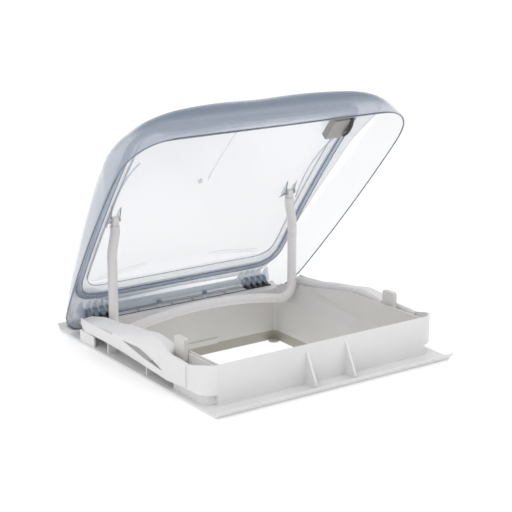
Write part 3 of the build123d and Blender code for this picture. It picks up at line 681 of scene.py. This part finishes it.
# ---- side covers ----
CREST = ((173, 44, 216), (126, 55, 216), (73, 59, 216), (22, 68, 217), (-20, 72, 222),
         (-51, 77, 226.5), (-88, 73, 228.5), (-104, 68.5, 231.5), (-118, 63, 234), (-160, 62.4, 234),
         (-170, 61.2, 234))
CREASE = ((173, 40), (126, 43), (38, 49), (-12, 54), (-60, 56), (-115, 55), (-170, 55))
LOWER = ((173, 38), (160, 26), (91, 28), (20, 27), (-74, 22), (-115, 20), (-170, 24))
SLOT_TOP = ((26, 47.5), (-28, 50), (-60, 44), (-91, 36), (-100, 31.5))
SLOT_FOOT = ((26, 47), (-11, 41), (-43, 36), (-75, 33), (-100, 31))
COVER_FRONT = -170.0
COVER_BACK = 172.0
COVER_STEPS = 98
COVER_INNER = 213.2
COVER_INNER_STEP = 18.4
COVER_FACE = 236.0
COVER_THICKNESS = 0.0024


def along_line(table, y, column=1):
    """A table's value at a place along Y, on straight lines between its rows."""
    rows = sorted(table)
    if y <= rows[0][0]:
        return rows[0][column]
    for a, b in zip(rows, rows[1:]):
        if y <= b[0]:
            t = (y - a[0]) / (b[0] - a[0])
            return a[column] + (b[column] - a[column]) * t
    return rows[-1][column]


def smooth_line(table, y, column=1, reach=9):
    """The same value averaged over a short reach each way, which rounds the corners."""
    values = [along_line(table, y + reach * k / 4, column) for k in range(-4, 5)]
    return sum(values) / len(values)


for hand, side in SIDES:
    rows, faces = [], []
    length = COVER_BACK - COVER_FRONT
    for k in range(COVER_STEPS + 1):
        y = COVER_BACK - length * k / COVER_STEPS
        crest = smooth_line(CREST, y)
        ridge = smooth_line(CREST, y, 2)
        crease = smooth_line(CREASE, y)
        lower = along_line(LOWER, y)
        inner = COVER_INNER + COVER_INNER_STEP * ease(-100, -116, y)
        ridge = max(ridge, inner + 1)
        face = COVER_FACE + 0.3 * ease(-104, -118, y) * (1 - 1.6 * ease(-150, -168, y))
        drop = 14 - 6 * ease(-100, -116, y)
        slot_top = along_line(SLOT_TOP, y)
        slot_foot = along_line(SLOT_FOOT, y)
        section = [
            (inner, crest - drop), (inner, crest - 4.0), (inner + 0.6, crest - 1.6),
            (ridge - 0.8, crest - 0.3), (ridge + 0.6, crest - 0.4),
            (ridge + (face - ridge) * 0.5, crest - (crest - crease) * 0.3),
            (face - 0.5, crease + 2.5), (face, crease), (face, slot_top), (face, slot_foot),
            (face, lower),
        ]
        rows.append([mm(side * x, y, z) for x, z in section])
    width = len(rows[0])
    slot_column = width - 3
    points = [p for row in rows for p in row]
    for r in range(COVER_STEPS):
        y = (rows[r][0].y + rows[r + 1][0].y) * 500
        for c in range(width - 1):
            if c == slot_column and SLOT_TOP[-1][0] < y < SLOT_TOP[0][0]:
                continue
            quad = (r * width + c, r * width + c + 1, (r + 1) * width + c + 1, (r + 1) * width + c)
            faces.append(quad if side > 0 else quad[::-1])
    cover = make_piece(f"arch_cover_{hand}", points, faces, WHITE, "frame")
    solid = cover.modifiers.new("thickness", "SOLIDIFY")
    solid.thickness = COVER_THICKNESS
    solid.offset = -1
    bevel = cover.modifiers.new("edges", "BEVEL")
    bevel.width = 0.0005
    bevel.segments = 2
    bevel.limit_method = "ANGLE"
    apply_modifiers(cover)
    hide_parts(f"side_cover_{hand}")

# ---- stage ----
HOLE = 0.2
FLOOR_REACH = 8.0
FLOOR_LEVEL = -0.0003


def build_floor():
    lines = (-FLOOR_REACH, -HOLE, HOLE, FLOOR_REACH)
    points = [(x, y, FLOOR_LEVEL) for y in lines for x in lines]
    faces = []
    for j in range(3):
        for i in range(3):
            if (i, j) != (1, 1):
                faces.append((j * 4 + i, j * 4 + i + 1, (j + 1) * 4 + i + 1, (j + 1) * 4 + i))
    mesh = bpy.data.meshes.new("floor")
    mesh.from_pydata(points, [], faces)
    floor = bpy.data.objects.new("floor", mesh)
    bpy.context.scene.collection.objects.link(floor)
    material, tree, shader = new_material("floor_pale")
    drift = noise(tree, 1.4, 3.0)
    pale = ramp(tree, drift, grey(0.93), grey(0.95))
    link(tree, pale, "Color", shader, "Base Color")
    shader.inputs["Roughness"].default_value = 0.8
    shader.inputs["Emission Color"].default_value = (1, 1, 1, 1)
    shader.inputs["Emission Strength"].default_value = 0.12
    mesh.materials.append(material)


build_floor()


def area_light(name, place, aim, size, power, colour=(1, 1, 1)):
    data = bpy.data.lights.new(name, "AREA")
    data.energy = power
    data.size = size
    data.color = colour
    light = bpy.data.objects.new(name, data)
    light.location = place
    light.rotation_euler = (Vector(aim) - Vector(place)).to_track_quat("-Z", "Y").to_euler()
    bpy.context.scene.collection.objects.link(light)


area_light("key", (-1.6, -1.2, 2.6), (0, 0, 0.1), 1.8, 16)
area_light("fill", (2.4, -1.4, 1.5), (0, 0, 0.1), 2.0, 5)

bpy.context.scene.view_settings.view_transform = "Standard"
world = bpy.data.worlds.new("studio")
world.use_nodes = True
world.node_tree.nodes["Background"].inputs["Color"].default_value = (1, 1, 1, 1)
world.node_tree.nodes["Background"].inputs["Strength"].default_value = 1.0
bpy.context.scene.world = world

# ---- camera ----
CAMERA_PLACE = (-1.35406, -1.96839, 0.82730)
CAMERA_DOWN = 15.578
CAMERA_ROUND = 34.808
CAMERA_LENS = 101.394
camera_data = bpy.data.cameras.new("camera")
camera_data.lens = CAMERA_LENS
camera_data.sensor_width = 36
camera = bpy.data.objects.new("camera", camera_data)
camera.location = CAMERA_PLACE
camera.rotation_euler = (radians(90 - CAMERA_DOWN), 0, radians(-CAMERA_ROUND))
bpy.context.scene.collection.objects.link(camera)
bpy.context.scene.camera = camera
